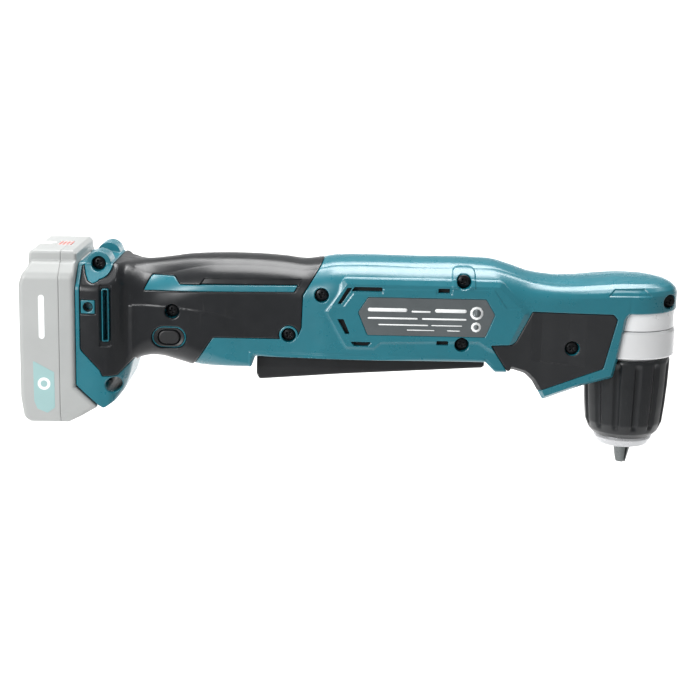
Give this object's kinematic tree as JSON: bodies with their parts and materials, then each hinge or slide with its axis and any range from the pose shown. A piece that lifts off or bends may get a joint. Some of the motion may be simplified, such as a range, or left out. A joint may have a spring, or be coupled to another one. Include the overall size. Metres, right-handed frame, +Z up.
{
  "type": "cordless drill",
  "caption": "Right-angle battery drill: level grip with paddle trigger, angled gear head and keyless three-jaw chuck pointing down.",
  "frame": {"origin": "on the chuck axis, level with the tips of the jaws", "axes": "+Z up along the chuck axis from the jaw tips to the gear head, +X along the grip from the battery to the head, +Y across the tool to its left-hand side"},
  "size_m": [0.3132, 0.066, 0.1034],
  "materials": {
    "teal_plastic": "semi-gloss moulded",
    "grip_rubber": "satin elastomer",
    "plate": "satin printed plate",
    "black_steel": "black oxide",
    "cast_alloy": "satin cast",
    "bearing_steel": "ground",
    "gear_steel": "machined",
    "motor_steel": "zinc plated",
    "magnet": "sintered",
    "black_plastic": "fine texture",
    "circuit_board": "solder mask",
    "heat_sink_metal": "extruded",
    "brass_part": "machined",
    "lens": "clear diffusing",
    "lead_sleeve": "insulated wire",
    "copper_winding": "enamelled copper and steel",
    "silver_ring": "satin turned",
    "sleeve_plastic": "fluted, satin",
    "jaw_steel": "ground steel",
    "battery_plastic": "pale grey",
    "cell_wrap": "shrink wrap",
    "indicator": "translucent window",
    "white_button": "white"
  },
  "bodies": {
    "housing": {"housing_right": "teal_plastic", "housing_left": "teal_plastic", "grip_right": "grip_rubber", "grip_left": "grip_rubber", "web_pad_right": "grip_rubber", "web_pad_left": "grip_rubber", "rating_plate": "plate", "name_plate": "plate", "housing_screws": "black_steel", "head_case": "cast_alloy", "spindle_bearings": "bearing_steel", "pinion_bearings": "bearing_steel", "gearbox_case": "cast_alloy", "ring_gear": "gear_steel", "motor_can": "motor_steel", "motor_magnets": "magnet", "motor_end_bell": "black_plastic", "motor_bearings": "bearing_steel", "carbon_brushes": "magnet", "switch_body": "black_plastic", "controller_board": "circuit_board", "heat_sink": "heat_sink_metal", "terminal_block": "black_plastic", "contact_blades": "brass_part", "led_board": "circuit_board", "led_lens": "lens", "trigger_pin": "bearing_steel", "hook_nuts": "brass_part", "motor_leads": "lead_sleeve", "battery_leads": "lead_sleeve", "led_leads": "lead_sleeve", "trigger_spring": "bearing_steel"},
    "trigger": {"trigger_paddle": "black_plastic"},
    "plunger": {"switch_plunger": "black_plastic"},
    "direction": {"direction_button": "black_plastic"},
    "spindle": {"spindle": "bearing_steel", "bevel_gear": "gear_steel", "chuck_body": "jaw_steel", "chuck_ring": "silver_ring", "nose_ring": "silver_ring"},
    "sleeve": {"chuck_sleeve": "sleeve_plastic", "jaw_nut": "brass_part"},
    "jaw_a": {"jaw_1": "jaw_steel"},
    "jaw_b": {"jaw_2": "jaw_steel"},
    "jaw_c": {"jaw_3": "jaw_steel"},
    "carrier": {"planet_carrier": "gear_steel", "bevel_pinion": "gear_steel"},
    "planet_a": {"planet_gear_1": "gear_steel"},
    "planet_b": {"planet_gear_2": "gear_steel"},
    "planet_c": {"planet_gear_3": "gear_steel"},
    "rotor": {"armature": "copper_winding", "motor_shaft": "bearing_steel", "sun_gear": "gear_steel", "cooling_fan": "black_plastic"},
    "battery": {"battery_case": "battery_plastic", "battery_cover": "battery_plastic", "battery_cells": "cell_wrap", "indicator_lens": "indicator"},
    "latch": {"battery_latch": "battery_plastic"},
    "check": {"check_button": "white_button"}
  },
  "joints": [
    {"name": "trigger_press", "type": "hinge", "parent": "housing", "child": "trigger", "pos_m": [-0.076, 0, 0.0556], "axis": [0, 1, 0], "range_deg": [0, 3.9], "stiffness_Nm_per_rad": 3, "springref_deg": -2.86, "deforming": ["trigger_spring"]},
    {"name": "plunger_slide", "type": "slide", "parent": "housing", "child": "plunger", "axis": [0, 0, 1], "range_m": [0, 0.0068]},
    {"name": "direction_slide", "type": "slide", "parent": "housing", "child": "direction", "axis": [0, 1, 0], "range_m": [-0.003, 0.003]},
    {"name": "spindle_spin", "type": "hinge", "parent": "housing", "child": "spindle", "pos_m": [0, 0, 0.06], "axis": [0, 0, 1], "continuous": true},
    {"name": "sleeve_turn", "type": "hinge", "parent": "spindle", "child": "sleeve", "pos_m": [0, 0, 0.035], "axis": [0, 0, 1], "range_deg": [-360, 2376]},
    {"name": "jaw_1_slide", "type": "slide", "parent": "spindle", "child": "jaw_a", "axis": [0.2419, 0, 0.9703], "range_m": [-0.0025, 0.0165]},
    {"name": "jaw_2_slide", "type": "slide", "parent": "spindle", "child": "jaw_b", "axis": [-0.121, 0.2095, 0.9703], "range_m": [-0.0025, 0.0165]},
    {"name": "jaw_3_slide", "type": "slide", "parent": "spindle", "child": "jaw_c", "axis": [-0.121, -0.2095, 0.9703], "range_m": [-0.0025, 0.0165]},
    {"name": "carrier_spin", "type": "hinge", "parent": "housing", "child": "carrier", "pos_m": [-0.05, 0, 0.08], "axis": [1, 0, 0], "continuous": true},
    {"name": "rotor_spin", "type": "hinge", "parent": "housing", "child": "rotor", "pos_m": [-0.11, 0, 0.08], "axis": [1, 0, 0], "continuous": true},
    {"name": "planet_1_spin", "type": "hinge", "parent": "carrier", "child": "planet_a", "pos_m": [-0.0732, 0, 0.07093], "axis": [1, 0, 0], "continuous": true},
    {"name": "planet_2_spin", "type": "hinge", "parent": "carrier", "child": "planet_b", "pos_m": [-0.0732, 0.00786, 0.08454], "axis": [1, 0, 0], "continuous": true},
    {"name": "planet_3_spin", "type": "hinge", "parent": "carrier", "child": "planet_c", "pos_m": [-0.0732, -0.00786, 0.08454], "axis": [1, 0, 0], "continuous": true},
    {"name": "battery_slide", "type": "slide", "parent": "housing", "child": "battery", "axis": [0, 0, -1], "range_m": [0, 0.06]},
    {"name": "latch_press", "type": "slide", "parent": "battery", "child": "latch", "axis": [1, 0, 0], "range_m": [0, 0.002], "stiffness_N_per_m": 900, "springref_m": -0.003},
    {"name": "check_press", "type": "slide", "parent": "battery", "child": "check", "axis": [0, 0, -1], "range_m": [0, 0.0006], "stiffness_N_per_m": 900, "springref_m": -0.001}
  ],
  "couplings": [
    {"joint": "plunger_slide", "follows": "trigger_press", "m_per_rad": 0.0995},
    {"joint": "carrier_spin", "follows": "spindle_spin", "ratio": -2.5},
    {"joint": "rotor_spin", "follows": "spindle_spin", "ratio": -13.75},
    {"joint": "planet_1_spin", "follows": "spindle_spin", "ratio": 6.4286},
    {"joint": "jaw_1_slide", "follows": "sleeve_turn", "m_per_rad": 0.00039789},
    {"joint": "planet_2_spin", "follows": "spindle_spin", "ratio": 6.4286},
    {"joint": "jaw_2_slide", "follows": "sleeve_turn", "m_per_rad": 0.00039789},
    {"joint": "planet_3_spin", "follows": "spindle_spin", "ratio": 6.4286},
    {"joint": "jaw_3_slide", "follows": "sleeve_turn", "m_per_rad": 0.00039789}
  ]
}
